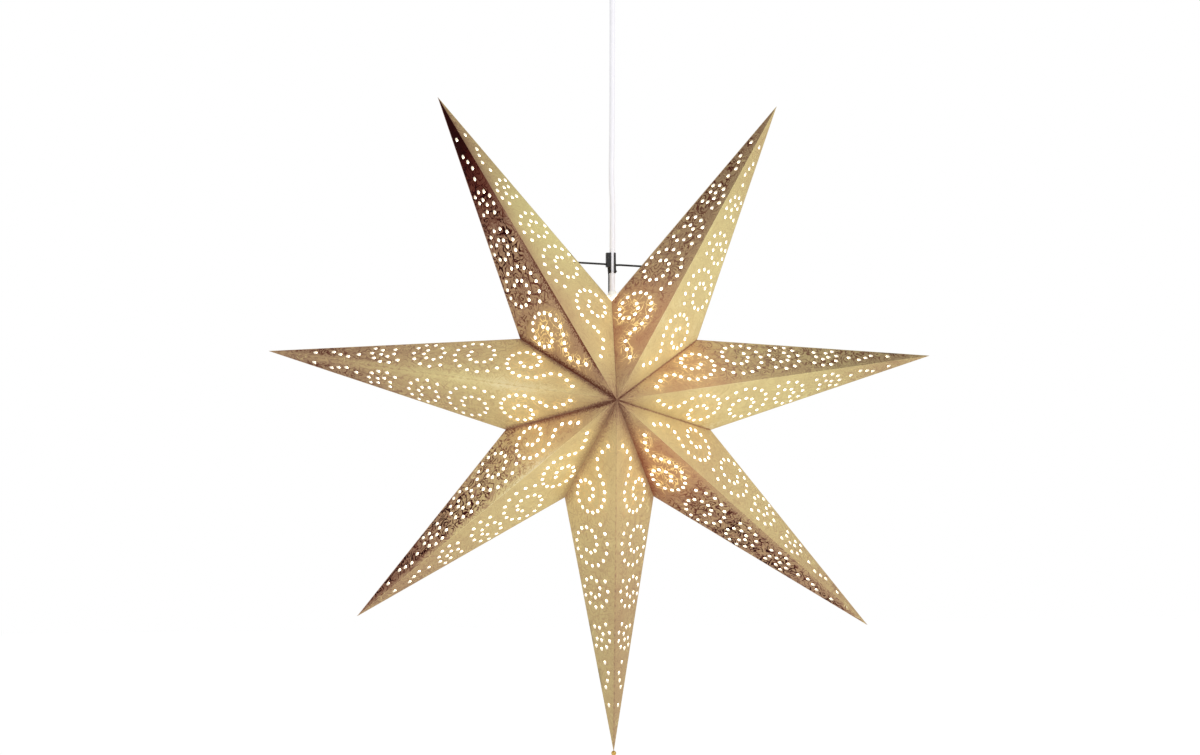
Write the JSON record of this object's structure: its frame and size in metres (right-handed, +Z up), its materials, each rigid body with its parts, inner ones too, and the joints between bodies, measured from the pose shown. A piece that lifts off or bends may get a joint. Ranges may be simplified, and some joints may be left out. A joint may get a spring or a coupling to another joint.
{
  "type": "paper star lantern",
  "caption": "Folded and punched card star lit from inside by a screw lamp, hung by its cord from a ceiling cup, on a wire bar and clip.",
  "frame": {"origin": "on the ceiling, at the middle of the ceiling plate's top face", "axes": "+Z up, the star faces -Y, +X to the viewer's right"},
  "size_m": [0.6032, 0.156, 0.7764],
  "materials": {
    "gold_card": "metallic gold card with a tone-on-tone scroll print, punched",
    "gold_bead": "small gilt bead",
    "black_wire": "black coated steel wire",
    "black_plastic": "moulded, satin",
    "white_plastic": "moulded, satin",
    "white_cord": "smooth flexible sheath",
    "brass": "stamped",
    "steel": "zinc plated",
    "bulb_glass": "frosted inside",
    "clear_glass": "clear",
    "tungsten": "fine wire",
    "lead": "insulated leads"
  },
  "bodies": {
    "ceiling": {"ceiling_plate": "steel", "ceiling_hook": "steel", "hook_nut": "steel"},
    "ring": {"hanging_ring": "steel"},
    "hanger": {"cord_hanger": "white_plastic", "hanger_screw": "steel", "terminal_block": "white_plastic", "terminal_screws": "brass", "lead_wires": "lead"},
    "pendant": {"cord": "white_cord", "hanger_clip": "black_plastic", "hanger_bar": "black_wire", "drop_wire": "black_wire", "holder_cap": "white_plastic", "holder_body": "white_plastic", "holder_insert": "white_plastic", "screw_shell": "brass", "centre_contact": "brass", "contact_screws": "steel"},
    "cup": {"ceiling_cup": "white_plastic", "cup_collar": "white_plastic", "collar_screw": "steel"},
    "star": {"point_upper_left": "gold_card", "point_left": "gold_card", "point_lower_left": "gold_card", "point_bottom": "gold_card", "point_lower_right": "gold_card", "point_right": "gold_card", "point_upper_right": "gold_card", "tip_bead": "gold_bead"},
    "bulb": {"bulb_glass": "bulb_glass", "bulb_cap": "brass", "bulb_insulator": "black_plastic", "bulb_contact": "steel", "bulb_stem": "clear_glass", "bulb_filament": "tungsten"}
  },
  "joints": [
    {"name": "ring_swing", "type": "hinge", "parent": "ceiling", "child": "ring", "pos_m": [0, 0, -0.0225], "axis": [1, 0, 0], "range_deg": [-5, 5]},
    {"name": "hanger_swing", "type": "hinge", "parent": "ring", "child": "hanger", "pos_m": [0, 0, -0.03345], "axis": [0, 1, 0], "range_deg": [-5, 5]},
    {"name": "cord_turn", "type": "hinge", "parent": "hanger", "child": "pendant", "pos_m": [0, 0, -0.05], "axis": [0, 0, 1], "range_deg": [-180, 180]},
    {"name": "cup_slide", "type": "slide", "parent": "pendant", "child": "cup", "axis": [0, 0, -1], "range_m": [0, 0.09]},
    {"name": "star_rock", "type": "hinge", "parent": "pendant", "child": "star", "pos_m": [0, 0, -0.3295], "axis": [0.9986, 0, -0.0523], "range_deg": [-2.5, 2.5]},
    {"name": "bulb_slide", "type": "slide", "parent": "pendant", "child": "bulb", "axis": [0, 0, -1], "range_m": [0, 0.035]}
  ]
}
